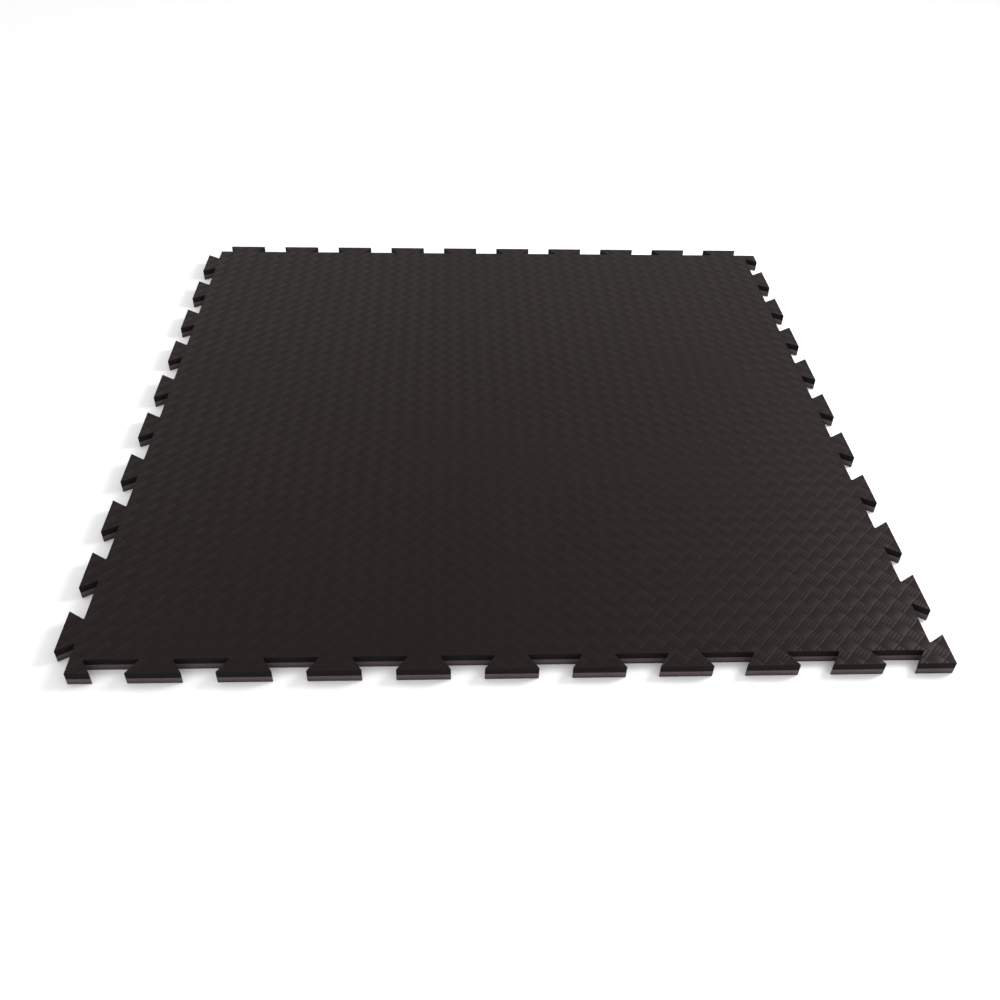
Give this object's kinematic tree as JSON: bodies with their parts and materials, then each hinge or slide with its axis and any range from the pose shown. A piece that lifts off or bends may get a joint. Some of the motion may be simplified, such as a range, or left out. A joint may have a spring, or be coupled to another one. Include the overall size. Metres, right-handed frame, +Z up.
{
  "type": "interlocking foam floor tile",
  "caption": "Square interlocking foam floor tile: a dark embossed layer bonded to a lighter one, with dovetail tabs and matching notches round its edges.",
  "frame": {"origin": "on the floor, at the centre of the tile's whole outline, tabs included", "axes": "+Z up, out of the embossed face; +X to the right along the front side; +Y from the front side to the back side. The tabs are on the back and left sides, the notches on the front and right sides"},
  "size_m": [1.02, 1.02, 0.018],
  "materials": {
    "top_foam": "matte closed-cell EVA foam with an embossed basket-weave face",
    "bottom_foam": "matte closed-cell EVA foam, die-cut edges"
  },
  "bodies": {
    "root": {"top_layer": "top_foam", "bottom_layer": "bottom_foam"}
  },
  "joints": []
}
